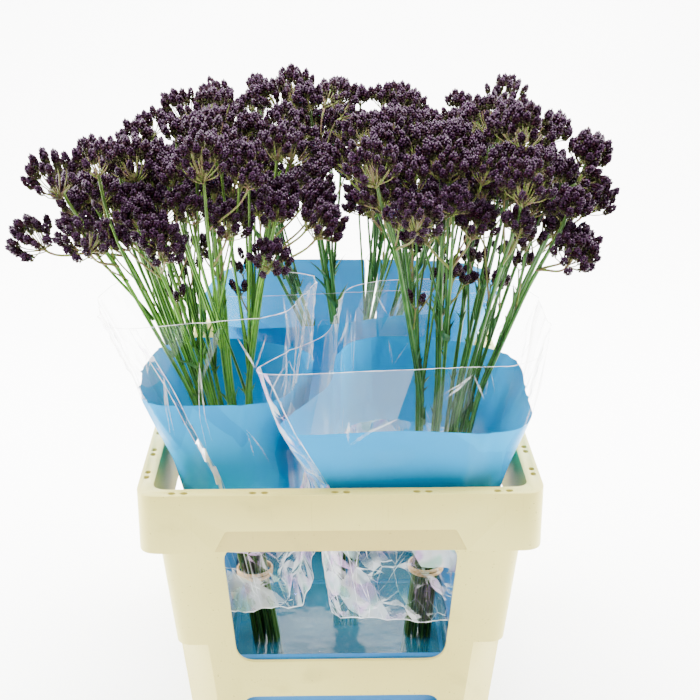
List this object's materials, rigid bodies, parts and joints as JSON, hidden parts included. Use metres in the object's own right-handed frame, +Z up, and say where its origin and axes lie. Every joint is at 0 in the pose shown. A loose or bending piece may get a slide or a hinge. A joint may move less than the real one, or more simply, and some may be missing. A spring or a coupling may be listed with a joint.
{
  "type": "verbena",
  "caption": "Sleeved bunches of cut verbena with purple flower heads, standing in water in a plastic tub inside a windowed crate.",
  "frame": {"origin": "centre of the crate's underside, which is the face the part rests on", "axes": "+Z up; -Y is the front, a short side of the crate; +X is to the right seen from the front"},
  "size_m": [0.4545, 0.4355, 0.5533],
  "materials": {
    "crate": "satin",
    "tub": "satin",
    "water": "gloss",
    "film": "gloss",
    "elastic": "matte",
    "flowering_stem": "matte"
  },
  "bodies": {
    "root": {"crate": "crate", "tub": "tub", "water": "water", "sleeve_left": "film", "sleeve_right": "film", "sleeve_rear": "film", "band_left": "elastic", "band_right": "elastic", "band_rear": "elastic", "stem_left_01": "flowering_stem", "stem_left_02": "flowering_stem", "stem_left_03": "flowering_stem", "stem_left_04": "flowering_stem", "stem_left_05": "flowering_stem", "stem_left_06": "flowering_stem", "stem_left_07": "flowering_stem", "stem_left_08": "flowering_stem", "stem_left_09": "flowering_stem", "stem_left_10": "flowering_stem", "stem_left_11": "flowering_stem", "stem_left_12": "flowering_stem", "stem_left_13": "flowering_stem", "stem_left_14": "flowering_stem", "stem_left_15": "flowering_stem", "stem_left_16": "flowering_stem", "stem_right_01": "flowering_stem", "stem_right_02": "flowering_stem", "stem_right_03": "flowering_stem", "stem_right_04": "flowering_stem", "stem_right_05": "flowering_stem", "stem_right_06": "flowering_stem", "stem_right_07": "flowering_stem", "stem_right_08": "flowering_stem", "stem_right_09": "flowering_stem", "stem_right_10": "flowering_stem", "stem_right_11": "flowering_stem", "stem_right_12": "flowering_stem", "stem_right_13": "flowering_stem", "stem_right_14": "flowering_stem", "stem_right_15": "flowering_stem", "stem_right_16": "flowering_stem", "stem_rear_01": "flowering_stem", "stem_rear_02": "flowering_stem", "stem_rear_03": "flowering_stem", "stem_rear_04": "flowering_stem", "stem_rear_05": "flowering_stem", "stem_rear_06": "flowering_stem", "stem_rear_07": "flowering_stem", "stem_rear_08": "flowering_stem", "stem_rear_09": "flowering_stem", "stem_rear_10": "flowering_stem", "stem_rear_11": "flowering_stem", "stem_rear_12": "flowering_stem"}
  },
  "joints": []
}
